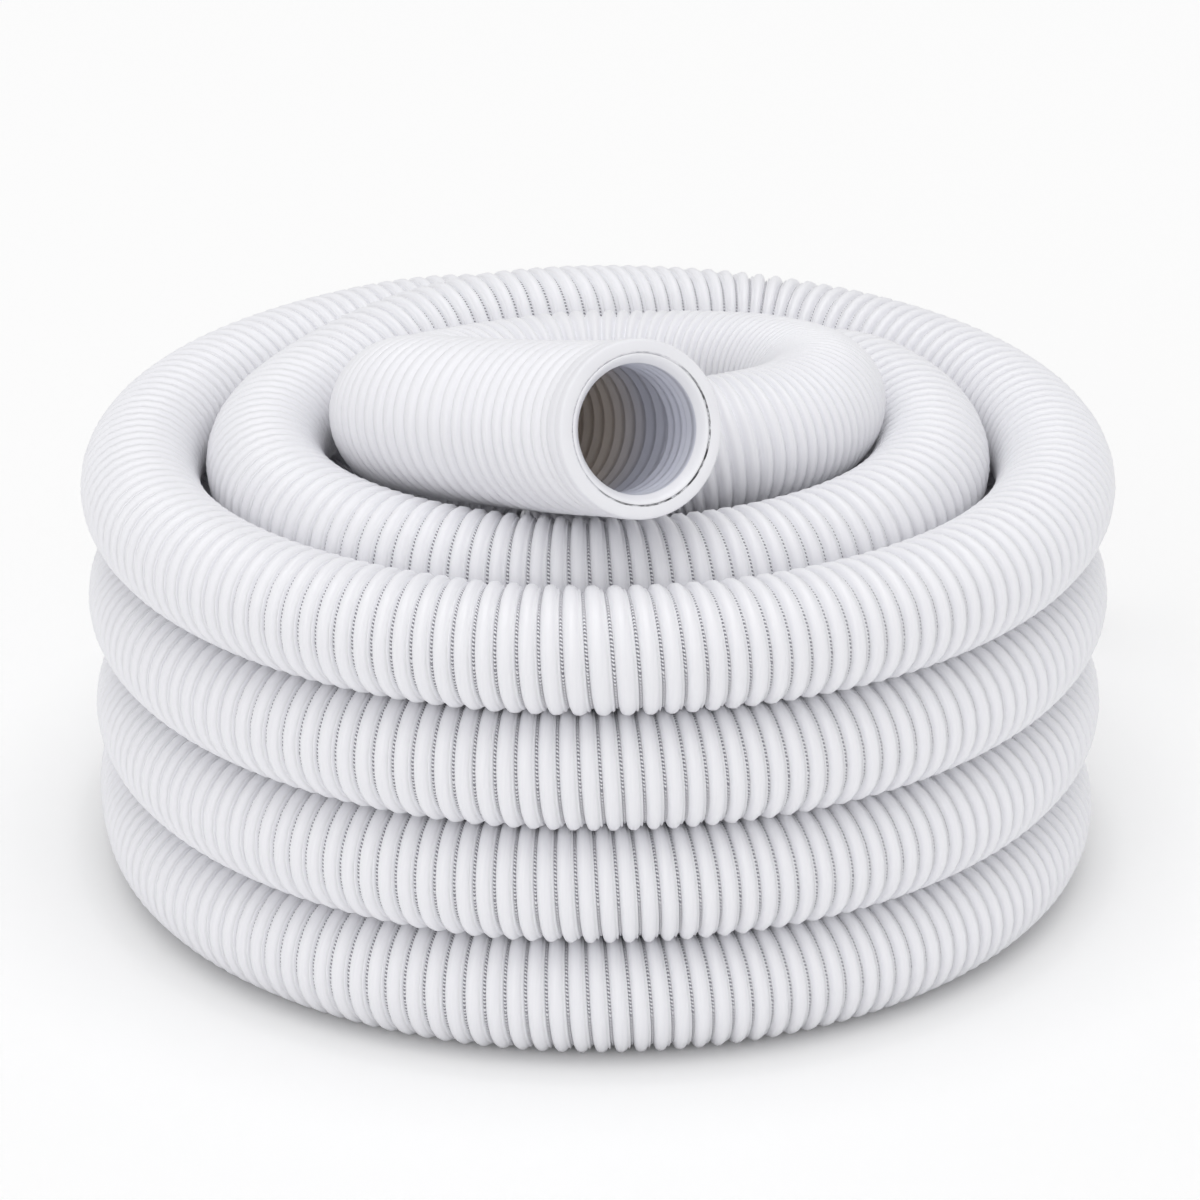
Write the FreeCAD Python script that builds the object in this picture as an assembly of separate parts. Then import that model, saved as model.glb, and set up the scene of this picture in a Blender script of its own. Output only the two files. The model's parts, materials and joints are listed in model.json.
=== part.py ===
import FreeCAD, Part
import math
import os

os.makedirs("parts", exist_ok=True)
Vector = FreeCAD.Vector

# A pool vacuum hose put away as a coil: four outer turns, four turns inside
# them, a part turn that climbs in the middle, and one raised loop that carries
# the open end.
# Millimetres, +Z up, the floor at z = 0.

# Hose section
hose_d = 38.0
wall = 3.0
bore_d = hose_d - 2 * wall
layer_gap = 0.5
flat_depth = 0.5

# Winding, as seen from above, counterclockwise from the far end
outer_radii = [147.7, 148.6, 149.5, 150.4]
middle_radii = [107.8, 108.3, 108.8, 109.3]
inner_radius = 68.0
inner_lift, inner_rise = 6.0, 55.0
tail_radius = 188.7
floor_axis = hose_d / 2 - flat_depth
layer_step = hose_d + layer_gap
outer_heights = [floor_axis + layer_step * k for k in range(4)]
middle_heights = [floor_axis, floor_axis + layer_step, floor_axis + 2 * layer_step + 0.5, 139.5]

# Where the middle of the coil lies from the origin
coil_x, coil_y = -4.24, -24.23

# Angles, in degrees from +X, where each change of layer or ring begins, and how long it takes
tail_in = 98
outer_climbs = [(76, 83), (70.5, 87), (71.5, 54)]
cross_inward, cross_turn = 58, 56
cross_crest = 142.0
middle_drops = [(30, 75), (16, 90), (12, 90)]
inner_in = -40
inner_end = 170

# Straight stretches
one_d = hose_d
ramp_x, ramp_y, ramp_z = -14.4, -45.2, 116.2
ramp_heading, ramp_slope = -11.8, 54.2

# Raised loop: widening and ribs, measured back from its mouth end
mouth_x, mouth_y, mouth_z = 13.1, -130.3, 197.0
mouth_heading, mouth_slope = -62.4, 18.4
loop_widths = [
    (0, 53.4), (40, 53.2), (90, 51.6), (150, 50.8), (230, 43.9), (330, 41.4), (420, 45.1), (455, 42.0),
    (500, 38.0),
]
loop_x, loop_y = 4.0, 8.0
ramp_lead, mouth_lead = 50.0, 53.0
loop_corners = [
    (300, 65.2, 167.1), (322, 72.5, 165.4), (344, 73.2, 162.7), (366, 68.4, 157.5), (390, 62.8, 152.1),
    (414, 59.7, 147.2), (438, 59.0, 143.5), (462, 60.7, 143.0), (486, 62.7, 142.0), (510, 65.5, 143.4),
    (534, 67.2, 148.7), (556, 69.1, 156.5), (578, 79.4, 169.0), (600, 87.2, 172.9),
]
rib_pitch_start, rib_pitch_end = 3.9, 6.6
rib_depth = 2.0

# End fitting, radii and depths behind the mouth plane
liner_r, liner_wall_r, liner_flange_r = 19.5, 20.3, 22.65
liner_flange, liner_depth = 1.8, 8.0
lip_r = 19.9
cuff_r, cuff_face_r, cuff_bevel, cuff_rear = 27.0, 24.2, 3.6, 5.0
groove_r, groove_front, groove_back = 23.05, 2.1, 3.8
journal_r, journal_clearance, journal_bore = 22.0, 0.05, 20.6
bead_r, bead_front, bead_back = 22.8, 2.4, 3.4
seal_front, flange_front, flange_back, flange_r = 5.3, 6.2, 7.2, 25.5
sleeve_r, sleeve_bore, sleeve_depth = 21.2, 19.7, 22.0
sleeve_ring_depth = 0.6

# Far end cuff
fixed_bore, fixed_wall, fixed_length, fixed_socket = 19.25, 4.25, 60.0, 22.0
fixed_r = fixed_bore + fixed_wall
fixed_edge = 1.5
grip_rings = [14.0, 24.0]
grip_width, grip_depth, grip_slope = 5.0, 1.2, 1.0
fixed_taper, fixed_lip, fixed_step = 14.0, 2.2, 2.5


def direction(heading, slope):
    """Unit vector from a compass-like heading and a slope, in degrees."""
    h, s = math.radians(heading), math.radians(slope)
    return Vector(math.cos(h) * math.cos(s), math.sin(h) * math.cos(s), math.sin(s))


def on_turn(angle, radius, height, slope=0.0, inward=0.0):
    """Point on a turn and the direction of travel there."""
    a = math.radians(angle)
    outward = Vector(math.cos(a), math.sin(a), 0)
    along = Vector(-math.sin(a), math.cos(a), 0)
    along = along + Vector(0, 0, math.tan(math.radians(slope)))
    along = along - outward * math.tan(math.radians(inward))
    return Vector(outward.x * radius, outward.y * radius, height), along.normalize()


def two_arcs(start, end):
    """A pair of arcs, each tangent to the other, between two directed points."""
    p, t = start
    q, u = end
    span = q - p
    both = t + u
    bend = 2 * (1 - t.dot(u))
    if bend < 1e-9:
        reach = span.dot(span) / (4 * span.dot(u))
    else:
        half = span.dot(both)
        reach = (math.sqrt(half * half + bend * span.dot(span)) - half) / bend
    corner_a = p + t * reach
    corner_b = q - u * reach
    middle = (corner_a + corner_b) * 0.5
    return [one_arc(p, corner_a, middle), one_arc(middle, corner_b, q)]


def one_arc(p, corner, q):
    """Arc or line from p to q whose end tangents meet at the corner."""
    t = (corner - p).normalize()
    u = (q - corner).normalize()
    reach = (corner - p).Length
    turn = math.acos(max(-1.0, min(1.0, t.dot(u))))
    if turn < 1e-6:
        return {"p": p, "q": q, "t": t, "n": None, "radius": None, "length": 2 * reach}
    n = (u - t * u.dot(t)).normalize()
    radius = reach / math.tan(turn / 2)
    return {"p": p, "q": q, "t": t, "n": n, "radius": radius, "length": radius * turn}


def arc_point(arc, s):
    """Point and direction at the distance s along one arc."""
    if arc["radius"] is None:
        return arc["p"] + arc["t"] * s, Vector(arc["t"])
    a = s / arc["radius"]
    point = arc["p"] + (arc["t"] * math.sin(a) + arc["n"] * (1 - math.cos(a))) * arc["radius"]
    return point, arc["t"] * math.cos(a) + arc["n"] * math.sin(a)


def arc_edge(arc):
    if arc["radius"] is None:
        return Part.makeLine(arc["p"], arc["q"])
    return Part.Arc(arc["p"], arc_point(arc, arc["length"] / 2)[0], arc["q"]).toShape()


def route(stops):
    arcs = []
    for start, end in zip(stops, stops[1:]):
        arcs += two_arcs(start, end)
    return arcs


def length_of(arcs):
    return sum(arc["length"] for arc in arcs)


def at(arcs, s):
    """Point and direction at the distance s along a route."""
    for arc in arcs:
        if s <= arc["length"] + 1e-9:
            return arc_point(arc, s)
        s -= arc["length"]
    return arc_point(arcs[-1], arcs[-1]["length"])


def turn_stops(stops, begin, end, radius, height, longest=135.0):
    """Stops along a level turn from one angle to another."""
    steps = max(1, math.ceil((end - begin) / longest))
    for k in range(1, steps + 1):
        stops.append(on_turn(begin + (end - begin) * k / steps, radius, height))


def ring(point, normal, radius):
    """Circle whose start lies at a steady side of the route."""
    side = Vector(0, 0, 1).cross(normal).normalize()
    circle = Part.Circle(point, normal, radius)
    circle.XAxis = side
    return Part.Wire([circle.toShape()])


def hollow(outer_faces, inner_faces, ends):
    """Solid between an outer and an inner skin with a ring face at each end."""
    caps = []
    for point, normal, outer_r, inner_r in ends:
        disc = Part.Face(ring(point, normal, outer_r))
        caps.append(disc.cut(Part.Face(ring(point, normal, inner_r))).Faces[0])
    skin = Part.makeShell(outer_faces + inner_faces + caps)
    skin.sewShape()
    solid = Part.makeSolid(skin)
    if solid.Volume < 0:
        solid.reverse()
    return solid


def plain_hose(arcs):
    """Round hose of one width with its bore, swept along a route."""
    path = Part.Wire([arc_edge(arc) for arc in arcs])
    skins = []
    for radius in (hose_d / 2, bore_d / 2):
        skins.append(path.makePipeShell([ring(arcs[0]["p"], arcs[0]["t"], radius)], False, False))
    last, heading = at(arcs, length_of(arcs))
    ends = [(arcs[0]["p"], arcs[0]["t"], hose_d / 2, bore_d / 2), (last, heading, hose_d / 2, bore_d / 2)]
    return hollow(skins[0].Faces, skins[1].Faces, ends)


# Stops of the winding, from the far end of the hose to the raised loop
tail_start, tail_dir = on_turn(tail_in, tail_radius, floor_axis)
joint_a = tail_start - tail_dir * one_d
bend_a = joint_a - tail_dir * one_d
cuff_dir = direction(tail_in + 90 - 20, 0)
bend_b = bend_a - direction(tail_in + 90 - 10, 0) * 50
bend_b.z = fixed_r
tail_end = bend_b - cuff_dir * one_d
tail_arcs = route([(tail_end, cuff_dir), (bend_b, cuff_dir), (bend_a, tail_dir), (joint_a, tail_dir)])

stops = [(joint_a, tail_dir), (tail_start, tail_dir)]
angle = tail_in + 90
stops.append(on_turn(angle, outer_radii[0], outer_heights[0]))
for k in range(3):
    climb = outer_climbs[k][0] + 360 * (k + 1)
    turn_stops(stops, angle, climb, outer_radii[k], outer_heights[k])
    angle = climb + outer_climbs[k][1]
    stops.append(on_turn(angle, outer_radii[k + 1], outer_heights[k + 1]))
cross = cross_inward + 360 * 4
turn_stops(stops, angle, cross, outer_radii[3], outer_heights[3])
half_way = (outer_radii[3] + middle_radii[3]) / 2
stops.append(on_turn(cross + cross_turn / 2, half_way, cross_crest, 0, 34.0))
stops.append(on_turn(cross + cross_turn, middle_radii[3], cross_crest, -2))
angle = cross + cross_turn + 30
stops.append(on_turn(angle, middle_radii[3], middle_heights[3]))
for k in range(3):
    drop = middle_drops[k][0] + 360 * (5 + k)
    turn_stops(stops, angle, drop, middle_radii[3 - k], middle_heights[3 - k])
    angle = drop + middle_drops[k][1]
    stops.append(on_turn(angle, middle_radii[2 - k], middle_heights[2 - k]))
inner = inner_in + 360 * 8
turn_stops(stops, angle, inner, middle_radii[0], middle_heights[0])
inner_slope = math.degrees(math.atan(inner_rise / (2 * math.pi * inner_radius)))
begin, end = inner + 90, inner_end + 360 * 8
steps = math.ceil((end - begin) / 90)
for k in range(steps + 1):
    angle = begin + (end - begin) * k / steps
    height = floor_axis + inner_lift + inner_rise * (angle - begin) / 360
    stops.append(on_turn(angle, inner_radius, height, inner_slope))

# The straight ramp in the middle, which the coil and the raised loop share
ramp_dir = direction(ramp_heading, ramp_slope)
ramp_middle = Vector(ramp_x, ramp_y, ramp_z)
stops.append((ramp_middle - ramp_dir * one_d, ramp_dir))
stops.append((ramp_middle, ramp_dir))
coil_arcs = route(stops)

# Stops of the raised loop
mouth = Vector(mouth_x, mouth_y, mouth_z)
mouth_dir = direction(mouth_heading, mouth_slope)
loop_end = mouth - mouth_dir * flange_back
loop_stops = [(ramp_middle, ramp_dir), (ramp_middle + ramp_dir * one_d, ramp_dir)]
corners = [ramp_middle + ramp_dir * ramp_lead]
for angle, radius, height in loop_corners:
    a = math.radians(angle)
    corners.append(Vector(loop_x + radius * math.cos(a), loop_y + radius * math.sin(a), height))
corners.append(loop_end - mouth_dir * mouth_lead)
for before, after in zip(corners, corners[1:]):
    loop_stops.append(((before + after) * 0.5, (after - before).normalize()))
loop_stops.append((loop_end - mouth_dir * one_d, mouth_dir))
loop_stops.append((loop_end, mouth_dir))
loop_arcs = route(loop_stops)


def loop_width(back):
    """Width of the raised loop at a distance back from its end."""
    for (d0, w0), (d1, w1) in zip(loop_widths, loop_widths[1:]):
        if back <= d1:
            return w0 + (w1 - w0) * (back - d0) / (d1 - d0)
    return hose_d


def rib_starts(total):
    """Distances along the loop where each rib begins, the pitch growing towards the mouth."""
    starts = [0.0]
    while starts[-1] < total:
        share = starts[-1] / total
        starts.append(starts[-1] + rib_pitch_start + (rib_pitch_end - rib_pitch_start) * share ** 3)
    fit = total / starts[-1]
    return [s * fit for s in starts]


def ribbed_loop(arcs):
    """Raised loop: each rib is a ruled loft through four circles, with the bore."""
    total = length_of(arcs)
    starts = rib_starts(total)
    outer, inner = [], []
    for s0, s1 in zip(starts, starts[1:]):
        for share, lower in ((0.0, 0.0), (0.5, 0.0), (0.66, 1.0), (0.84, 1.0)):
            s = s0 + (s1 - s0) * share
            point, heading = at(arcs, s)
            outer.append(ring(point, heading, loop_width(total - s) / 2 - lower * rib_depth))
    point, heading = at(arcs, total)
    outer.append(ring(point, heading, loop_width(0) / 2))
    fitted = sleeve_depth - flange_back
    marks = [s for s in starts[::2] if s < total - fitted - 6] + [total - fitted, total + 1]
    for s in marks:
        point, heading = at(arcs, min(s, total))
        if s > total:
            point = point + heading
        radius = max(bore_d / 2, loop_width(total - s) / 2 - rib_depth - wall)
        if s > total - fitted - 1:
            radius = sleeve_r
        inner.append(ring(point, heading, radius))
    print("ribs on the raised loop", len(starts) - 1)
    return Part.makeLoft(outer, True, True).cut(Part.makeLoft(inner, True, True)).Solids[0]


def turned(outline):
    """Ring turned about the Z axis from (radius, height) pairs."""
    points = [Vector(r, 0, z) for r, z in outline]
    face = Part.Face(Part.makePolygon(points + [points[0]]))
    return face.revolve(Vector(0, 0, 0), Vector(0, 0, 1), 360)


def placed(shape, origin, axis):
    """Moves a piece made on +Z so that +Z points along the axis."""
    spin = FreeCAD.Rotation(Vector(0, 0, 1), axis)
    shape.Placement = FreeCAD.Placement(origin, spin)
    return shape


# Hose stretches
above_floor = Part.makeBox(600, 600, 300, Vector(-300, -300, 0))
hose_tail = plain_hose(tail_arcs).common(above_floor).Solids[0]
hose_coil = plain_hose(coil_arcs).common(above_floor).Solids[0]
hose_top_loop = ribbed_loop(loop_arcs)

# Swivel end, drawn on +Z with the mouth plane at z = 0
liner = turned([
    (lip_r, 0), (liner_flange_r, 0), (liner_flange_r, -liner_flange), (liner_wall_r, -liner_flange),
    (liner_wall_r, -liner_depth), (liner_r, -liner_depth), (liner_r, -1.2),
])
cuff = turned([
    (liner_flange_r, 0), (cuff_face_r, 0), (cuff_r - 1.0, -cuff_bevel + 1.8), (cuff_r, -cuff_bevel),
    (cuff_r, -cuff_rear), (journal_r + journal_clearance, -cuff_rear),
    (journal_r + journal_clearance, -groove_back), (groove_r, -groove_back),
    (groove_r, -groove_front), (liner_flange_r, -groove_front),
])
collar_outline = [
    (journal_bore, -bead_front), (bead_r, -bead_front), (bead_r, -bead_back), (journal_r, -bead_back),
    (journal_r, -flange_front), (flange_r, -flange_front), (flange_r, -flange_back),
    (sleeve_r, -flange_back), (sleeve_r, -sleeve_depth), (sleeve_bore, -sleeve_depth),
]
depth = sleeve_depth - 1.0
while depth > liner_depth + 3.5:
    collar_outline.append((sleeve_bore, -depth))
    collar_outline.append((sleeve_bore + sleeve_ring_depth, -depth + 0.8))
    collar_outline.append((sleeve_bore + sleeve_ring_depth, -depth + 2.4))
    collar_outline.append((sleeve_bore, -depth + 3.2))
    depth -= 4.6
collar_outline.append((sleeve_bore, -liner_depth - 0.9))
collar_outline.append((journal_bore, -liner_depth - 0.3))
collar = turned(collar_outline)
seal = turned([
    (journal_r, -seal_front), (flange_r, -seal_front), (flange_r, -flange_front), (journal_r, -flange_front),
])
cuff_liner = placed(liner, mouth, mouth_dir)
swivel_cuff = placed(cuff, mouth, mouth_dir)
end_collar = placed(collar, mouth, mouth_dir)
swivel_seal = placed(seal, mouth, mouth_dir)

# Far end cuff, drawn on +Z with its open mouth at z = 0
sleeve = [
    (hose_d / 2, -fixed_length), (hose_d / 2, -fixed_length + fixed_socket),
    (bore_d / 2, -fixed_length + fixed_socket), (bore_d / 2, -fixed_length + fixed_socket + fixed_step),
    (fixed_bore, -fixed_length + fixed_socket + 2 * fixed_step), (fixed_bore, 0),
    (fixed_r - fixed_edge, 0), (fixed_r, -fixed_edge),
]
for front in grip_rings:
    sleeve.append((fixed_r, -front))
    sleeve.append((fixed_r - grip_depth, -front - grip_slope))
    sleeve.append((fixed_r - grip_depth, -front - grip_width + grip_slope))
    sleeve.append((fixed_r, -front - grip_width))
sleeve.append((fixed_r, -fixed_length + fixed_taper))
sleeve.append((hose_d / 2 + fixed_lip, -fixed_length))
fixed_mouth = tail_end - cuff_dir * (fixed_length - fixed_socket)
fixed_cuff = placed(turned(sleeve), fixed_mouth, cuff_dir * -1)

# The origin is the bottom centre of the box around the whole part
pieces = {
    "hose_coil": hose_coil,
    "hose_tail": hose_tail,
    "hose_top_loop": hose_top_loop,
    "end_collar": end_collar,
    "swivel_seal": swivel_seal,
    "swivel_cuff": swivel_cuff,
    "cuff_liner": cuff_liner,
    "fixed_cuff": fixed_cuff,
}
box = FreeCAD.BoundBox()
for name, shape in pieces.items():
    box.add(shape.optimalBoundingBox())
print("box before the shift", [round(v, 2) for v in (box.XMin, box.XMax, box.YMin, box.YMax, box.ZMin, box.ZMax)])
shift = Vector(coil_x, coil_y, 0)
for name, shape in pieces.items():
    shape.translate(shift)
    print(name, "valid", shape.isValid(), "solids", len(shape.Solids), "volume", round(shape.Volume))
    shape.exportStep("parts/" + name + ".step")

print("open mouth at", mouth + shift, "facing", mouth_dir)
print("far mouth at", fixed_mouth + shift, "facing", cuff_dir * -1)

# Lengths, bends and the least gap of the hose to itself
whole = [(tail_arcs, 0), (coil_arcs, 0), (loop_arcs, 1)]
section = math.pi * (hose_d ** 2 - bore_d ** 2) / 4
print("lengths", [round(length_of(arcs)) for arcs, ribbed in whole])
print("coil volume over section times length", round(hose_coil.Volume / section / length_of(coil_arcs), 4))
print("tightest bend", round(min(arc["radius"] for arcs, ribbed in whole for arc in arcs if arc["radius"]), 1))
samples = []
for arcs, ribbed in whole:
    total = length_of(arcs)
    for k in range(int(total / 3)):
        s = total * k / int(total / 3)
        width = loop_width(total - s) if ribbed else hose_d
        samples.append((at(arcs, s)[0], width / 2))
least = 1000.0
for i, (p, r) in enumerate(samples):
    for q, t in samples[i + 24:]:
        if abs(p.x - q.x) < 60 and abs(p.y - q.y) < 60 and abs(p.z - q.z) < 60:
            gap = p.distanceToPoint(q) - r - t
            if gap < least:
                least, place = gap, p
print("least gap of the hose to itself", round(least, 2), "near", [round(v) for v in place])
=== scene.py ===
import bpy
import json
import math
import numpy as np
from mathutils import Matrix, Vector

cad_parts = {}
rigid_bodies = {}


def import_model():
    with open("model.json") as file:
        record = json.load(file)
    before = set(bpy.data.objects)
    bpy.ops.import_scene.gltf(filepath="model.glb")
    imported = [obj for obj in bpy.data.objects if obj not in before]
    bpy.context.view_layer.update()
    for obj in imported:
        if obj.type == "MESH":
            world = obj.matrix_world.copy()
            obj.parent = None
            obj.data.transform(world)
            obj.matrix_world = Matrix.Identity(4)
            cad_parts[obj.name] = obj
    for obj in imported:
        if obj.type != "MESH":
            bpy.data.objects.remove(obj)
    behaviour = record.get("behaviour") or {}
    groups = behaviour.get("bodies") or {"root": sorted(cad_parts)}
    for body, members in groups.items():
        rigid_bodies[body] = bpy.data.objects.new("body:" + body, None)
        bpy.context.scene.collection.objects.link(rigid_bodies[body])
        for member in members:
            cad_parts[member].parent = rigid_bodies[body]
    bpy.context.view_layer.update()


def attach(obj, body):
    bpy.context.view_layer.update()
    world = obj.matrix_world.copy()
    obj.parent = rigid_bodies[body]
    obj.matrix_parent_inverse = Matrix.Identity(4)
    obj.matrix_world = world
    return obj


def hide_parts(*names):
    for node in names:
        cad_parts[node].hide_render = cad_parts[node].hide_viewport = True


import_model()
scene = bpy.context.scene
scene.view_settings.view_transform = "Standard"

# Wound hose and its tail. A strip of soft white polyethylene with a round rib, wound edge over edge into
# one helix and welded, with a thin grey thread laid in each groove. It is put away as a spool: four
# outer turns, four turns inside them, a part turn and a ramp in the middle, and it ends in the far cuff.
hose_bore = 0.032
rib_crown = 0.0392
coil_axis = Vector((-0.00424, -0.02423, 0.0))


def polar(angle, radius, height):
    """A point about the coil's axis, by its angle in degrees and its radius and height in mm."""
    a = math.radians(angle)
    return coil_axis + Vector((radius * math.cos(a), radius * math.sin(a), height)) / 1000


def way(heading, slope):
    """Unit vector by its heading and slope in degrees."""
    h, v = math.radians(heading), math.radians(slope)
    return Vector((math.cos(h) * math.cos(v), math.sin(h) * math.cos(v), math.sin(v)))


# Stops of the winding as (angle, radius) and (angle, height), in mm and in degrees counted from the far
# end. Turns lie level and climb to the next one at the back, and the fourth crosses inwards over the
# inner ring
radii = [(188, 147.7), (436, 147.7), (519, 148.6), (790, 148.6), (877, 149.5), (1151, 149.5),
         (1186, 150.4), (1498, 150.4), (1546, 109.3), (1830, 109.3), (1905, 108.8), (2176, 108.8),
         (2266, 108.3), (2532, 108.3), (2622, 107.8), (2840, 107.8), (2930, 68.0), (3050, 68.0)]
heights = [(188, 18.5), (436, 18.5), (519, 57.0), (790, 57.0), (877, 95.5), (1151, 95.5), (1186, 134.0),
           (1498, 134.0), (1546, 147.0), (1600, 139.5), (1830, 139.5), (1905, 96.0), (2176, 96.0),
           (2266, 57.0), (2532, 57.0), (2622, 18.5), (2840, 18.5), (2930, 24.5), (3050, 42.8)]
ramp_from = 2930
step = 15
# The line passes a little inside its control points, so they stand this much further out
outside = 1 / (0.75 + 0.25 * math.cos(math.radians(step)))


def eased(stops, angle):
    """Value at an angle, easing from each stop to the next, and rising steadily on the ramp."""
    for (a0, v0), (a1, v1) in zip(stops, stops[1:]):
        if angle <= a1:
            u = (angle - a0) / (a1 - a0)
            if a0 >= ramp_from:
                return v0 + (v1 - v0) * u
            return v0 + (v1 - v0) * (2 * u * u if u < 0.5 else 1 - 2 * (1 - u) ** 2)


# The tail leaves the lowest turn, bends a little and lifts to the height of the far cuff's axis. Radii
# and heights are in mm, runs in metres
tail_radius, tail_from, coil_from = 188.7, 98, 188
coil_radius, floor_axis, cuff_axis = 147.7, 18.5, 23.5
tail_run, bend_run, end_run = 0.076, 0.050, 0.038
tail_corner, bend_corner, joining_run = 0.0888, 0.0128, 0.030
tail_in = polar(tail_from, tail_radius, floor_axis)
tail_way, bend_way, cuff_way = way(188, 0), way(178, 0), way(168, 0)
tail_bend = tail_in - tail_way * tail_run - bend_way * bend_run
tail_bend.z = cuff_axis / 1000
hose_points = [tail_bend - cuff_way * end_run, tail_bend + cuff_way * bend_corner]
hose_points += [tail_in - tail_way * tail_corner]
hose_points += [tail_in - tail_way * joining_run, tail_in + tail_way * joining_run]
for angle in range(tail_from + 30, coil_from, 20):
    closing = (angle - tail_from) / (coil_from - tail_from)
    hose_points.append(polar(angle, tail_radius + (coil_radius - tail_radius) * closing, floor_axis))
for angle in range(coil_from, heights[-1][0], step):
    hose_points.append(polar(angle, eased(radii, angle) * outside, eased(heights, angle)))

# The ramp is straight and steep. Its middle is where the wound hose ends and the raised loop begins
ramp_middle = coil_axis + Vector((-0.0144, -0.0452, 0.1162))
ramp_way = way(-11.8, 54.2)
ramp_foot, ramp_half, ramp_top = 0.0594, 0.026, 0.050
hose_points.append(coil_axis + Vector((-0.0704, -0.0078, 0.0454)))
hose_points.append(ramp_middle - ramp_way * ramp_foot)
hose_points.append(ramp_middle - ramp_way * ramp_half)
hose_points.append(ramp_middle)
hose_points.reverse()


def route_line(points, name):
    """The smooth line of a route, read from an open spline through its control points."""
    curve = bpy.data.curves.new(name, "CURVE")
    curve.dimensions = "3D"
    curve.resolution_u = 8
    spline = curve.splines.new("NURBS")
    spline.points.add(len(points) - 1)
    for control, point in zip(spline.points, points):
        control.co = (*point, 1.0)
    spline.order_u = 3
    spline.use_endpoint_u = True
    holder = bpy.data.objects.new(name, curve)
    mesh = bpy.data.meshes.new_from_object(holder)
    line = np.array([vertex.co for vertex in mesh.vertices])
    bpy.data.objects.remove(holder)
    bpy.data.curves.remove(curve)
    bpy.data.meshes.remove(mesh)
    return line


def reach_of(line):
    """Distance along the line of each of its points."""
    return np.concatenate([[0], np.cumsum(np.linalg.norm(np.diff(line, axis=0), axis=1))])


hose_line = route_line(hose_points, "hose_route")
hose_length = float(reach_of(hose_line)[-1])


def spaced_ribs(samples, pitch):
    """Where each rib starts, from the pitch at samples along the hose, with a whole number of ribs."""
    counted = np.concatenate([[0], np.cumsum(np.diff(samples) / pitch[1:])])
    ribs = round(counted[-1])
    return np.interp(np.arange(ribs + 1) * counted[-1] / ribs, counted, samples)


# Ribs lie 5.7 mm apart, give or take a little, and spread where the top turn bulges outwards at the front
rib_pitch = 0.0057
samples = np.linspace(0, hose_length, 12000)
top_front = coil_axis + Vector((0.0015, -0.1504, 0.134))
nearest = np.linalg.norm(hose_line - np.array(top_front), axis=1).argmin()
from_front = samples - reach_of(hose_line)[nearest]
spread = 1 + 0.02 * np.sin(samples / 0.11) + 0.015 * np.sin(samples / 0.047 + 1)
spread += 0.07 * np.exp(-(from_front / 0.060) ** 2) + 0.20 * np.exp(-(from_front / 0.011) ** 2)
hose_ribs = spaced_ribs(samples, rib_pitch * spread)
# One rib: the thread on the groove's floor in the first three rows, a low lap of the strip, a round crest
thread_rows = [0, 1, 2]
hose_rib = [(0.0, 0.0030), (0.03, 0.0021), (0.095, 0.0021), (0.13, 0.0030), (0.165, 0.0014),
            (0.21, 0.0010), (0.275, 0.0015), (0.37, 0.0006), (0.53, 0.0), (0.74, 0.00005),
            (0.87, 0.0006), (0.95, 0.0016)]


def around_line(line, along, turn, radius):
    """Points round the line: how far along it, at what share of a turn and how far out."""
    reach = reach_of(line)
    run = np.gradient(line, reach, axis=0)
    at = np.stack([np.interp(along, reach, line[:, k]) for k in range(3)], axis=-1)
    ahead = np.stack([np.interp(along, reach, run[:, k]) for k in range(3)], axis=-1)
    ahead /= np.linalg.norm(ahead, axis=-1, keepdims=True)
    side = np.cross([0.0, 0.0, 1.0], ahead)
    side /= np.linalg.norm(side, axis=-1, keepdims=True)
    up = np.cross(ahead, side)
    angle = (turn * 2 * math.pi)[..., None]
    return at + radius[..., None] * (np.cos(angle) * side + np.sin(angle) * up)


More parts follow.
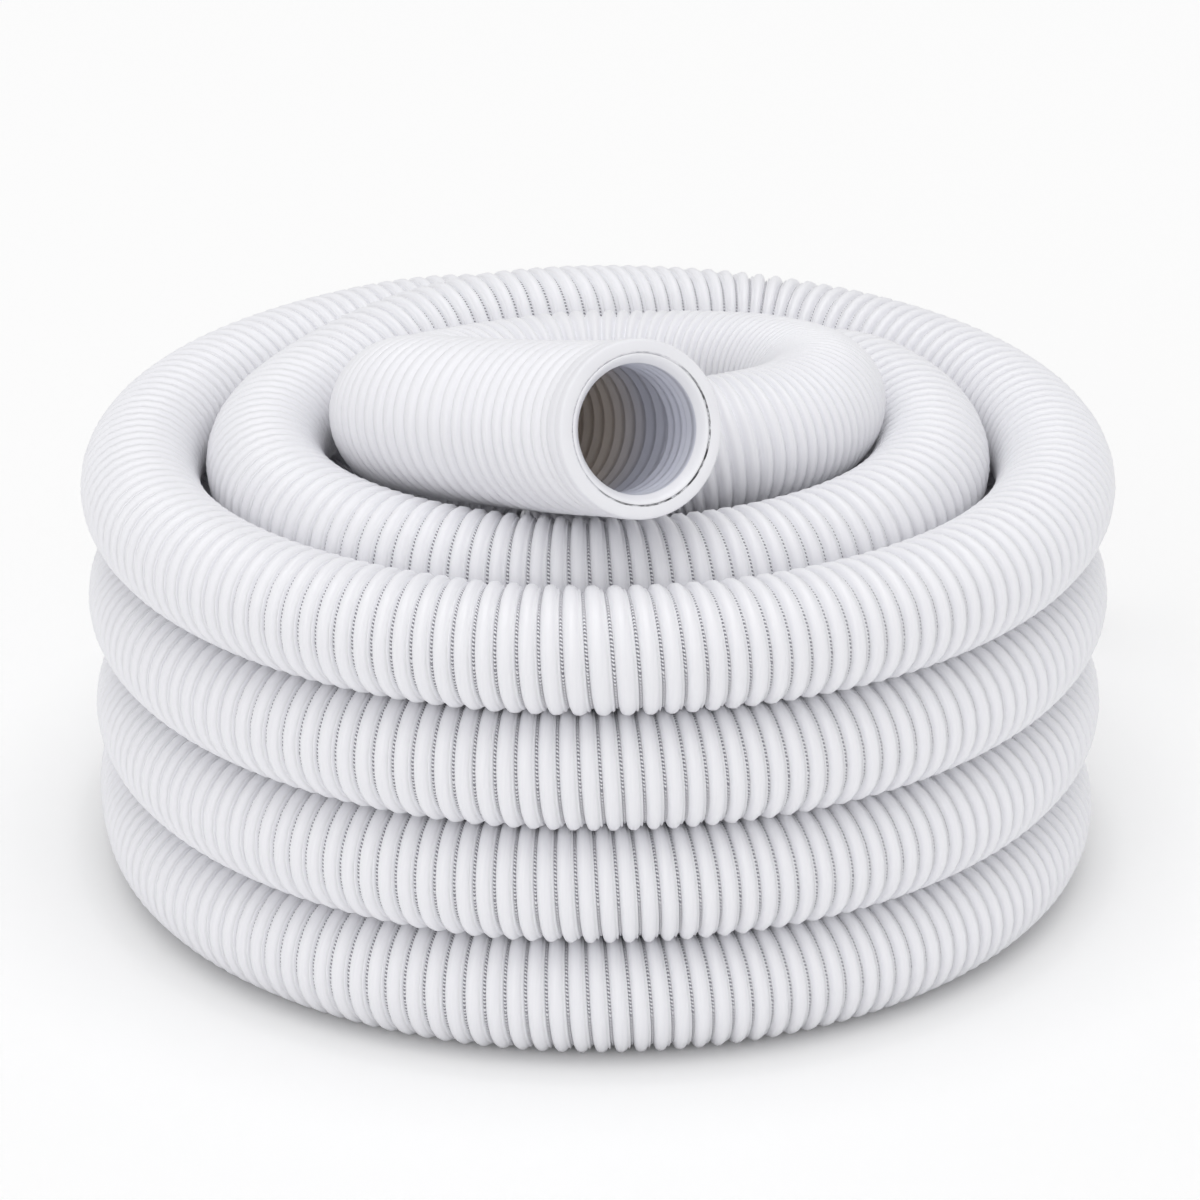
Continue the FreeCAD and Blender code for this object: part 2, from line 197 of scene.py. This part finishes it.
def ribbed_skin(line, rib_starts, width_at, profile, around):
    """One helical rib round the line, with this many corners around it.
    The profile gives one rib as (share of its pitch, depth below the crest). Where the helix runs past
    either end, its corners are held at the end, so the skin starts and ends square."""
    ribs = len(rib_starts) - 1
    rows = len(profile)
    share = np.array([p[0] for p in profile] + [1.0])
    depth = np.array([p[1] for p in profile] + [profile[0][1]])
    turn = np.arange(around) / around
    row_count = np.append((np.arange(ribs + 1)[:, None] + share[None, :-1]).ravel(), ribs + 1.0)
    count = np.clip(row_count[:, None] + turn[None] - 1, 0, ribs)
    along = np.interp(count, np.arange(ribs + 1), rib_starts)
    below_crest = np.interp((count - turn) % 1.0, share, depth)
    turns = np.broadcast_to(turn, count.shape)
    points = around_line(line, along, turns, width_at(along) / 2 - below_crest)
    # The lowest turns lie flat on the floor
    points[..., 2] = np.maximum(points[..., 2], 0.0)

    # Each corner row joins the next, and the last corner of a turn joins the first one a rib further on
    last = len(row_count) - 1
    first_kept = (count <= 0).sum(axis=0) - 1
    last_kept = last + 1 - (count >= ribs).sum(axis=0)
    row = np.clip(np.arange(last + 1)[:, None], first_kept[None], last_kept[None])
    corners = row * around + np.arange(around)
    next_rib = corners[np.minimum(np.arange(last + 1) + rows, last), 0]
    corners = np.concatenate([corners, next_rib[:, None]], axis=1)
    quads = [corners[:-1, :-1], corners[:-1, 1:], corners[1:, 1:], corners[1:, :-1]]

    u = np.concatenate([turn, [1.0]])
    v = np.clip(row_count[:, None] + u[None] - 1, 0, ribs)
    uv = np.stack([np.broadcast_to(u, v.shape), v], axis=-1)
    uvs = [uv[:-1, :-1], uv[:-1, 1:], uv[1:, 1:], uv[1:, :-1]]
    return {
        "points": points.reshape(-1, 3),
        "quads": np.stack(quads, axis=-1).reshape(-1, 4),
        "uvs": np.stack(uvs, axis=2).reshape(-1, 4, 2),
        "rows": np.repeat(np.arange(last) % rows, around),
        "first_ring": first_kept * around + np.arange(around),
        "last_ring": last_kept * around + np.arange(around),
    }


plain_step = 0.012
bore_steps = np.linspace(0, hose_length, round(hose_length / plain_step) + 1)
smooth_bore = [(0.0, 0.0)]
around_hose = 24
outer = ribbed_skin(hose_line, hose_ribs, lambda along: np.full_like(along, rib_crown), hose_rib,
                    around_hose)
inner = ribbed_skin(hose_line, bore_steps, lambda along: np.full_like(along, hose_bore), smooth_bore,
                    around_hose)


def linear(hex_colour):
    """An sRGB hex colour as linear RGBA."""
    out = []
    for k in (1, 3, 5):
        c = int(hex_colour[k:k + 2], 16) / 255
        out.append(c / 12.92 if c <= 0.04045 else ((c + 0.055) / 1.055) ** 2.4)
    return (*out, 1.0)


def add(tree, kind, links=(), **settings):
    """A shader node with its settings and its links, each link as (input, from node, output)."""
    node = tree.nodes.new(kind)
    for name, value in settings.items():
        if hasattr(node, name):
            setattr(node, name, value)
        else:
            node.inputs[name.replace("_", " ")].default_value = value
    for target, source, output in links:
        tree.links.new(source.outputs[output], node.inputs[target])
    return node


def new_tree(name):
    """A material and its empty node tree."""
    material = bpy.data.materials.new(name)
    material.use_nodes = True
    material.node_tree.nodes.clear()
    return material, material.node_tree


# Polyethylene strip, drawn and wound warm: clean white with a cool tint and a soft gloss on each rib.
# Faint draw lines lie along the rib, 0.6 mm apart. The grain that breaks the gloss is drawn 1.1 mm wide,
# so that it shows
white_hose, tree = new_tree("white_hose_polyethylene")
hose_map = add(tree, "ShaderNodeUVMap", uv_map="along_hose")
along_rib = add(tree, "ShaderNodeMapping", [("Vector", hose_map, "UV")])
along_rib.inputs["Scale"].default_value = (5.0, 9.0, 1.0)
draw_lines = add(tree, "ShaderNodeTexNoise", [("Vector", along_rib, "Vector")], Scale=1.0, Detail=3.0)
tint = add(tree, "ShaderNodeMix", [("Factor", draw_lines, "Fac")], data_type="RGBA")
tint.inputs[6].default_value = linear("#EEEEF3")
tint.inputs[7].default_value = linear("#F9F9FC")
coords = add(tree, "ShaderNodeTexCoord")
fine = add(tree, "ShaderNodeTexNoise", [("Vector", coords, "Object")], Scale=900.0, Detail=2.0)
bump = add(tree, "ShaderNodeBump", [("Height", fine, "Fac")], Strength=0.06, Distance=0.0004)
skin = add(tree, "ShaderNodeBsdfPrincipled", [("Normal", bump, "Normal")], Roughness=0.34)
tree.links.new(tint.outputs[2], skin.inputs["Base Color"])
add(tree, "ShaderNodeOutputMaterial", [("Surface", skin, "BSDF")])

# Twisted polyester thread: short silver and grey turns draw a fine dashed line down each groove. They are
# about 1.2 mm long, coarser than the real twist so that they show
thread, tree = new_tree("grey_polyester_thread")
thread_map = add(tree, "ShaderNodeUVMap", uv_map="along_hose")
twist = add(tree, "ShaderNodeMapping", [("Vector", thread_map, "UV")])
twist.inputs["Scale"].default_value = (104.0, 6.0, 1.0)
twist.inputs["Rotation"].default_value = (0.0, 0.0, 0.45)
strands = add(tree, "ShaderNodeTexWave", [("Vector", twist, "Vector")], Scale=0.32, Distortion=1.6,
              Detail=1.0)
dashes = add(tree, "ShaderNodeValToRGB", [("Fac", strands, "Fac")])
dashes.color_ramp.elements[0].position = 0.3
dashes.color_ramp.elements[0].color = linear("#86868E")
dashes.color_ramp.elements[1].position = 0.7
dashes.color_ramp.elements[1].color = linear("#F6F6F9")
yarn = add(tree, "ShaderNodeBsdfPrincipled", [("Base Color", dashes, "Color")], Roughness=0.55)
add(tree, "ShaderNodeOutputMaterial", [("Surface", yarn, "BSDF")])


def hose_mesh(name, outer, inner, materials, thread_rows):
    """A hose wall from an outer skin, an inner skin and a flat ring at each end.
    The materials are the wall's, the one of the outer skin's thread rows and the bore's."""
    shift = len(outer["points"])
    around = len(outer["first_ring"])
    ends = []
    for ring in ("first_ring", "last_ring"):
        out, into = outer[ring], inner[ring] + shift
        quad = np.stack([out, into, np.roll(into, -1), np.roll(out, -1)], axis=-1)
        ends.append(quad if ring == "first_ring" else quad[:, ::-1])
    quads = np.concatenate([outer["quads"], inner["quads"][:, ::-1] + shift, *ends])
    uvs = np.concatenate([outer["uvs"], inner["uvs"][:, ::-1], np.zeros((2 * around, 4, 2))])
    on_thread = np.isin(outer["rows"], thread_rows) * 1
    slot = np.concatenate([on_thread, np.full(len(inner["quads"]), 2), np.zeros(2 * around)])
    used, quads = np.unique(quads, return_inverse=True)
    quads = quads.reshape(-1, 4)

    # A face keeps each of its corners once, and one with fewer than three is left out
    faces, face_uvs, slots = [], [], []
    for quad, uv, which in zip(quads.tolist(), uvs.tolist(), slot.tolist()):
        keep = [k for k in range(4) if quad[k] not in quad[:k]]
        if len(keep) > 2:
            faces.append([quad[k] for k in keep])
            face_uvs.extend(uv[k] for k in keep)
            slots.append(int(which))
    points = np.concatenate([outer["points"], inner["points"]])[used]
    mesh = bpy.data.meshes.new(name)
    mesh.from_pydata(points.tolist(), [], faces)
    mesh.polygons.foreach_set("material_index", slots)
    mesh.polygons.foreach_set("use_smooth", [True] * len(faces))
    layer = mesh.uv_layers.new(name="along_hose")
    layer.data.foreach_set("uv", np.array(face_uvs).ravel())
    for material in materials:
        mesh.materials.append(material)
    mesh.update()
    piece = bpy.data.objects.new(name, mesh)
    scene.collection.objects.link(piece)
    return piece


hose = hose_mesh("hose_wound", outer, inner, [white_hose, thread, white_hose], thread_rows)
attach(hose, "hose")
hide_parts("hose_coil", "hose_tail")

# Raised loop. The same hose drawn out of the coil: it rises round the middle with fine ribs, grows wider
# towards its open end, where its ribs spread, and its corrugated bore shows at the mouth.
loop_centre = Vector((4.0, 8.0, 0.0)) / 1000
# Corners of its route round the middle as (angle, radius, height), then points on its way to the mouth
loop_corners = [(300, 69.5, 161.5), (322, 72.0, 160.5), (344, 72.0, 160.0), (366, 68.4, 156.5),
                (390, 62.8, 152.1), (414, 59.7, 147.2), (438, 59.0, 143.5), (462, 60.7, 143.0),
                (486, 62.7, 142.0), (510, 65.5, 143.4), (534, 67.2, 148.7)]
to_mouth = [(-67.0, -34.5, 156.5), (-62.5, -61.0, 167.0), (-45.0, -88.0, 175.0), (-22.0, -111.0, 181.5)]
loop_points = [ramp_middle, ramp_middle + ramp_way * ramp_half, ramp_middle + ramp_way * ramp_top]
for angle, radius, height in loop_corners:
    loop_points.append(polar(angle, radius, height) + loop_centre)
mouth = Vector((0.00886, -0.15453, 0.197))
mouth_way = way(-62.4, 18.4)
collar_flange_back = 0.0072
last_run = 0.014
loop_end = mouth - mouth_way * collar_flange_back
for point in to_mouth:
    loop_points.append(Vector(point) / 1000)
loop_points.append(loop_end - mouth_way * last_run)
loop_points.append(loop_end)
loop_line = route_line(loop_points, "loop_route")
loop_length = float(reach_of(loop_line)[-1])

# Rib pitch and width at distances back from the mouth, in mm: wide ribs at the cuff, fine ones behind
pitches = [(0, 7.6), (14, 6.8), (30, 5.4), (100, 5.1), (180, 5.2), (260, 5.0), (310, 3.8), (360, 3.3),
           (410, 3.1), (480, 3.1), (510, 3.6)]
widths = [(0, 50.8), (3.9, 50.8), (4.5, 53.4), (40, 53.2), (90, 51.6), (150, 50.8), (230, 43.9),
          (330, 41.4), (400, 44.5), (440, 46.0), (470, 44.0), (500, 38.6)]


def from_mouth(table, along):
    """Value of a table at a distance along the loop, the table being measured back from the mouth."""
    distances = [row[0] / 1000 for row in table]
    values = [row[1] / 1000 for row in table]
    return np.interp(loop_length - along, distances, values)


loop_wall = 0.0075
widest_bore = 0.0422
bore_pitch = 0.0047
samples = np.linspace(0, loop_length, 4000)
loop_ribs = spaced_ribs(samples, from_mouth(pitches, samples))
loop_rib = [(0.0, 0.0023), (0.07, 0.0023), (0.17, 0.0011), (0.32, 0.0002), (0.5, 0.0), (0.70, 0.0001),
            (0.86, 0.0008)]
bore_ribs = np.linspace(0, loop_length, round(loop_length / bore_pitch) + 1)
bore_rib = [(0.0, 0.0), (0.16, 0.0), (0.36, -0.0009), (0.76, -0.0009)]


def loop_width(along):
    """Width of the raised loop over its ribs."""
    return from_mouth(widths, along)


def bore_width(along):
    """Width of the raised loop's bore between its ribs."""
    return np.minimum(loop_width(along) - loop_wall, widest_bore)


around_loop = 48
loop_outer = ribbed_skin(loop_line, loop_ribs, loop_width, loop_rib, around_loop)
loop_inner = ribbed_skin(loop_line, bore_ribs, bore_width, bore_rib, around_loop)

# The same polyethylene inside, with painted shade: a darker cool white near the mouth and a warm grey
# where the bore runs out of the light, tints that stand in for its shade. Its grain is drawn 1.4 mm wide
bore_shade_tint, tree = new_tree("bore_painted_shade")
bore_map = add(tree, "ShaderNodeUVMap", uv_map="along_hose")
place = add(tree, "ShaderNodeSeparateXYZ", [("Vector", bore_map, "UV")])
share = add(tree, "ShaderNodeMath", [(0, place, "Y")], operation="DIVIDE")
share.inputs[1].default_value = float(len(bore_ribs) - 1)
# Painted shade: the colour changes along the bore, from a warm tint deep inside to a darker cool band and
# a cool white at the mouth
depth = add(tree, "ShaderNodeValToRGB", [("Fac", share, "Value")])
depth.color_ramp.elements[0].position = 0.92
depth.color_ramp.elements[0].color = linear("#F1E7DC")
depth.color_ramp.elements[1].position = 0.955
depth.color_ramp.elements[1].color = linear("#CED0DC")
near = depth.color_ramp.elements.new(1.0)
near.color = linear("#DDDFEA")
coords = add(tree, "ShaderNodeTexCoord")
fine = add(tree, "ShaderNodeTexNoise", [("Vector", coords, "Object")], Scale=700.0, Detail=2.0)
bump = add(tree, "ShaderNodeBump", [("Height", fine, "Fac")], Strength=0.08, Distance=0.0004)
into_lining = [("Base Color", depth, "Color"), ("Normal", bump, "Normal")]
lining = add(tree, "ShaderNodeBsdfPrincipled", into_lining, Roughness=0.4)
add(tree, "ShaderNodeOutputMaterial", [("Surface", lining, "BSDF")])

# No thread shows in its grooves
no_thread = []
loop_materials = [white_hose, white_hose, bore_shade_tint]
raised_loop = hose_mesh("hose_raised_loop", loop_outer, loop_inner, loop_materials, no_thread)
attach(raised_loop, "hose")
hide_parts("hose_top_loop")

# End collar. Moulded in pale grey white and fixed in the hose end: the cuff turns on its journal, and its
# own bore is ringed like the hose behind it.


def turned_ring(name, outline, materials, slot_of_row, body, node):
    """A ring turned about the mouth's axis from pairs in mm: (radius, depth behind the mouth)."""
    turns = 96
    side = mouth_way.cross(Vector((0, 0, 1))).normalized()
    up = side.cross(mouth_way)
    points, faces, slots, corners = [], [], [], []
    for k in range(turns):
        a = 2 * math.pi * k / turns
        outward = side * math.cos(a) + up * math.sin(a)
        for radius, depth in outline:
            points.append(mouth + outward * (radius / 1000) - mouth_way * (depth / 1000))
    rows = len(outline)
    for k in range(turns):
        for row in range(rows):
            after = (row + 1) % rows
            ahead = (k + 1) % turns
            faces.append((k * rows + row, k * rows + after, ahead * rows + after, ahead * rows + row))
            slots.append(slot_of_row.get(row, 0))
            here, there = k / turns, (k + 1) / turns
            corners += [(here, row), (here, row + 1), (there, row + 1), (there, row)]
    mesh = bpy.data.meshes.new(name)
    mesh.from_pydata([tuple(p) for p in points], [], faces)
    mesh.polygons.foreach_set("material_index", slots)
    mesh.polygons.foreach_set("use_smooth", [True] * len(faces))
    mesh.uv_layers.new(name="round_mouth").data.foreach_set("uv", np.array(corners, float).ravel())
    for material in materials:
        mesh.materials.append(material)
    mesh.set_sharp_from_angle(angle=math.radians(50))
    piece = bpy.data.objects.new(name, mesh)
    scene.collection.objects.link(piece)
    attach(piece, body)
    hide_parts(node)
    return piece


def moulded(name, low, high, roughness, grain):
    """Moulded plastic: two close tones in soft 11 mm patches and a 0.7 mm grain, as fine as shows."""
    material, tree = new_tree(name)
    coords = add(tree, "ShaderNodeTexCoord")
    patches = add(tree, "ShaderNodeTexNoise", [("Vector", coords, "Object")], Scale=90.0, Detail=4.0)
    tone = add(tree, "ShaderNodeMix", [("Factor", patches, "Fac")], data_type="RGBA")
    tone.inputs[6].default_value = linear(low)
    tone.inputs[7].default_value = linear(high)
    fine = add(tree, "ShaderNodeTexNoise", [("Vector", coords, "Object")], Scale=1400.0, Detail=2.0)
    bump = add(tree, "ShaderNodeBump", [("Height", fine, "Fac")], Strength=grain, Distance=0.0003)
    body = add(tree, "ShaderNodeBsdfPrincipled", [("Normal", bump, "Normal")], Roughness=roughness)
    tree.links.new(tone.outputs[2], body.inputs["Base Color"])
    add(tree, "ShaderNodeOutputMaterial", [("Surface", body, "BSDF")])
    return material


# Pale moulding in the shade of the mouth: the cool white of the bore, darker and bluer than the cuff,
# partly painted shade, with a faint gloss on each ring
ringed_bore_shade = moulded("pale_ringed_bore_painted_shade", "#CDCFDC", "#D6D8E3", 0.36, 0.06)
collar = [(20.6, 2.4), (22.8, 2.4), (22.8, 3.4), (22.0, 3.4), (22.0, 6.2), (25.5, 6.2), (25.5, 7.2),
          (21.2, 7.2), (21.2, 22.0), (19.9, 22.0)]
for depth in (21.4, 16.8, 12.2):
    collar += [(19.3, depth), (19.25, depth - 0.9), (19.7, depth - 1.5), (20.35, depth - 2.1),
               (20.4, depth - 3.2), (19.7, depth - 3.9)]
collar += [(20.4, 8.0), (20.6, 7.6)]
turned_ring("ringed_collar", collar, [ringed_bore_shade], {}, "hose", "end_collar")

# Swivel seal. A dark washer moulded in soft rubber. It sits on the collar's journal, squeezed between the
# turning cuff and the collar's flange.

# Moulded rubber: matt and dark, a thin shadow line at most
rubber = moulded("dark_rubber_seal", "#3A3A3C", "#48484A", 0.75, 0.30)
seal = [(22.05, 5.3), (24.9, 5.3), (25.3, 5.45), (25.4, 5.75), (25.3, 6.05), (24.9, 6.2), (22.05, 6.2)]
turned_ring("seal_washer", seal, [rubber], {}, "hose", "swivel_seal")

# Swivel cuff. A wide ring moulded in white plastic that snaps over the collar and turns on it. It has a
# flat front with a small round edge, and one groove round its skirt. A thin seam shows beside the liner.

# Moulded polyethylene with a satin skin: an even, soft white without sharp highlights
moulded_cuff = moulded("moulded_white_cuff", "#EDEDF2", "#F4F4F8", 0.42, 0.10)
# Painted shade in the narrow seam: dark broken dashes on the right and below, about 4 mm long, and only
# a pale speckle on the left and above
seam, tree = new_tree("broken_seam_painted_shade")
seam_map = add(tree, "ShaderNodeUVMap", uv_map="round_mouth")
breaks = add(tree, "ShaderNodeMapping", [("Vector", seam_map, "UV")])
breaks.inputs["Scale"].default_value = (34.0, 0.3, 1.0)
gaps = add(tree, "ShaderNodeTexNoise", [("Vector", breaks, "Vector")], Scale=1.0, Detail=7.0,
           Roughness=0.75)
dark = add(tree, "ShaderNodeValToRGB", [("Fac", gaps, "Fac")])
dark.color_ramp.elements[0].position = 0.46
dark.color_ramp.elements[0].color = linear("#3C3C40")
dark.color_ramp.elements[1].position = 0.56
dark.color_ramp.elements[1].color = linear("#E4E4E9")
pale = add(tree, "ShaderNodeValToRGB", [("Fac", gaps, "Fac")])
pale.color_ramp.elements[0].position = 0.40
pale.color_ramp.elements[0].color = linear("#C6C6CD")
pale.color_ramp.elements[1].position = 0.52
pale.color_ramp.elements[1].color = linear("#F0F0F4")
place = add(tree, "ShaderNodeSeparateXYZ", [("Vector", seam_map, "UV")])
# Painted shade: which side of the mouth the seam is dark on, the right and below
shaded_side = add(tree, "ShaderNodeValToRGB", [("Fac", place, "X")])
shaded_side.color_ramp.elements[0].position = 0.36
shaded_side.color_ramp.elements[1].position = 0.46
fade = shaded_side.color_ramp.elements.new(0.80)
fade.color = (1, 1, 1, 1)
fade = shaded_side.color_ramp.elements.new(0.90)
fade.color = (0, 0, 0, 1)
shade = add(tree, "ShaderNodeMix", [("Factor", shaded_side, "Color")], data_type="RGBA")
tree.links.new(pale.outputs["Color"], shade.inputs[6])
tree.links.new(dark.outputs["Color"], shade.inputs[7])
seam_shade_surface = add(tree, "ShaderNodeBsdfPrincipled", Roughness=0.6)
tree.links.new(shade.outputs[2], seam_shade_surface.inputs["Base Color"])
add(tree, "ShaderNodeOutputMaterial", [("Surface", seam_shade_surface, "BSDF")])
cuff = [(22.70, 2.1), (22.70, 0.40), (23.08, 0.30), (23.14, 0.05), (23.25, 0.0), (25.8, 0.0),
        (26.35, 0.08), (26.75, 0.32), (26.93, 0.70), (27.0, 1.3), (27.0, 3.1), (26.85, 3.7), (26.4, 4.3),
        (26.4, 4.7), (26.85, 5.3), (27.0, 6.0), (27.0, 8.2), (26.9, 9.2), (26.5, 10.1), (26.3, 10.1),
        (25.75, 9.8), (25.75, 5.0), (22.05, 5.0), (22.05, 3.8), (23.05, 3.8), (23.05, 2.1)]
# The seam's walls on the cuff take the seam's painted shade
seam_rows = {0: 1, 1: 1, 2: 1}
turned_ring("cuff_ring", cuff, [moulded_cuff, seam], seam_rows, "swivel", "swivel_cuff")

# Cuff liner. The thin smooth lip that lines the mouth. It is moulded in the same white plastic, with a
# polished face, and pressed into the cuff, so it turns with it.

# Polished moulding: the lip catches a soft highlight. The bore is a darker, cooler copy of the same
# white, painted shade
smooth_liner = moulded("smooth_white_liner", "#EDEDF2", "#F5F5F9", 0.28, 0.04)
liner_bore_shade = moulded("liner_bore_painted_shade", "#D6D8E4", "#DEE0EA", 0.36, 0.06)
liner = [(19.5, 8.8), (19.6, 7.7), (19.95, 7.1), (20.0, 5.8), (19.6, 5.1), (19.6, 3.6), (19.7, 2.9),
         (20.1, 2.4), (20.6, 1.6), (21.2, 0.85), (21.7, 0.4), (22.1, 0.15), (22.4, 0.12), (22.58, 0.25),
         (22.62, 0.6), (22.62, 1.75), (20.6, 2.6), (20.4, 3.6), (20.3, 8.8)]
liner_materials = [smooth_liner, seam, liner_bore_shade]
# Rows 0 to 5 in the bore take its painted-shade copy, rows 13 and 14 the seam's painted shade
liner_rows = {0: 2, 1: 2, 2: 2, 3: 2, 4: 2, 5: 2, 13: 1, 14: 1}
turned_ring("liner_lip", liner, liner_materials, liner_rows, "swivel", "cuff_liner")

# Far cuff. A plain sleeve of the same satin white plastic, moulded on the hose's other end, with two
# shallow grooves for the fingers.
for node in bpy.data.objects:
    if node.name.startswith("fixed_cuff") and node.type == "MESH":
        node.data.materials.clear()
        node.data.materials.append(moulded_cuff)

# Floor and backdrop. One plain white sheet of paper runs under the coil and far behind it. The coil's
# soft shadow greys it close to the lowest turn, deepened there by a painted shadow.
floor_mesh = bpy.data.meshes.new("floor")
floor_mesh.from_pydata([(-6, -6, 0), (6, -6, 0), (6, 6, 0), (-6, 6, 0)], [], [(0, 1, 2, 3)])
floor = bpy.data.objects.new("floor", floor_mesh)
scene.collection.objects.link(floor)
paper, tree = new_tree("white_paper_floor")
# Painted shadow: the paper's colour greys where the coil hides it from the room
close_by = add(tree, "ShaderNodeAmbientOcclusion", samples=16, Distance=0.02)
grey = add(tree, "ShaderNodeValToRGB", [("Fac", close_by, "AO")])
grey.color_ramp.elements[0].position = 0.40
grey.color_ramp.elements[0].color = linear("#ECECEC")
grey.color_ramp.elements[1].position = 0.97
grey.color_ramp.elements[1].color = linear("#FEFEFE")
seen = add(tree, "ShaderNodeLightPath")
glow = add(tree, "ShaderNodeMath", [(0, seen, "Is Camera Ray")], operation="MULTIPLY")
glow.inputs[1].default_value = 0.03
into_sheet = [("Base Color", grey, "Color"), ("Emission Strength", glow, "Value")]
sheet = add(tree, "ShaderNodeBsdfPrincipled", into_sheet, Roughness=0.8)
add(tree, "ShaderNodeOutputMaterial", [("Surface", sheet, "BSDF")])
floor_mesh.materials.append(paper)

# Studio light. A plain white room and two very wide soft lamps that light all of the floor alike.
world = bpy.data.worlds.new("studio")
scene.world = world
world.use_nodes = True
tree = world.node_tree
tree.nodes.clear()
room = add(tree, "ShaderNodeBackground", Color=(1, 1, 1, 1), Strength=0.60)
add(tree, "ShaderNodeOutputWorld", [("Surface", room, "Background")])
for name, turn, tilt, power in (("top_softbox", 10, 6, 0.92), ("front_softbox", -14, 58, 0.42)):
    lamp = bpy.data.objects.new(name, bpy.data.lights.new(name, "SUN"))
    lamp.data.energy = power
    lamp.data.angle = math.radians(50)
    lamp.rotation_euler = (math.radians(tilt), 0, math.radians(turn))
    scene.collection.objects.link(lamp)

# Camera. A long lens that looks down at the coil's middle.
camera = bpy.data.objects.new("camera", bpy.data.cameras.new("camera"))
camera.data.lens = 130.4
camera.data.sensor_width = 36.0
camera.location = coil_axis + Vector((0.00066, -1.3391, 0.6542))
camera.rotation_euler = (math.radians(90 - 22.97), 0, 0)
scene.collection.objects.link(camera)
scene.camera = camera
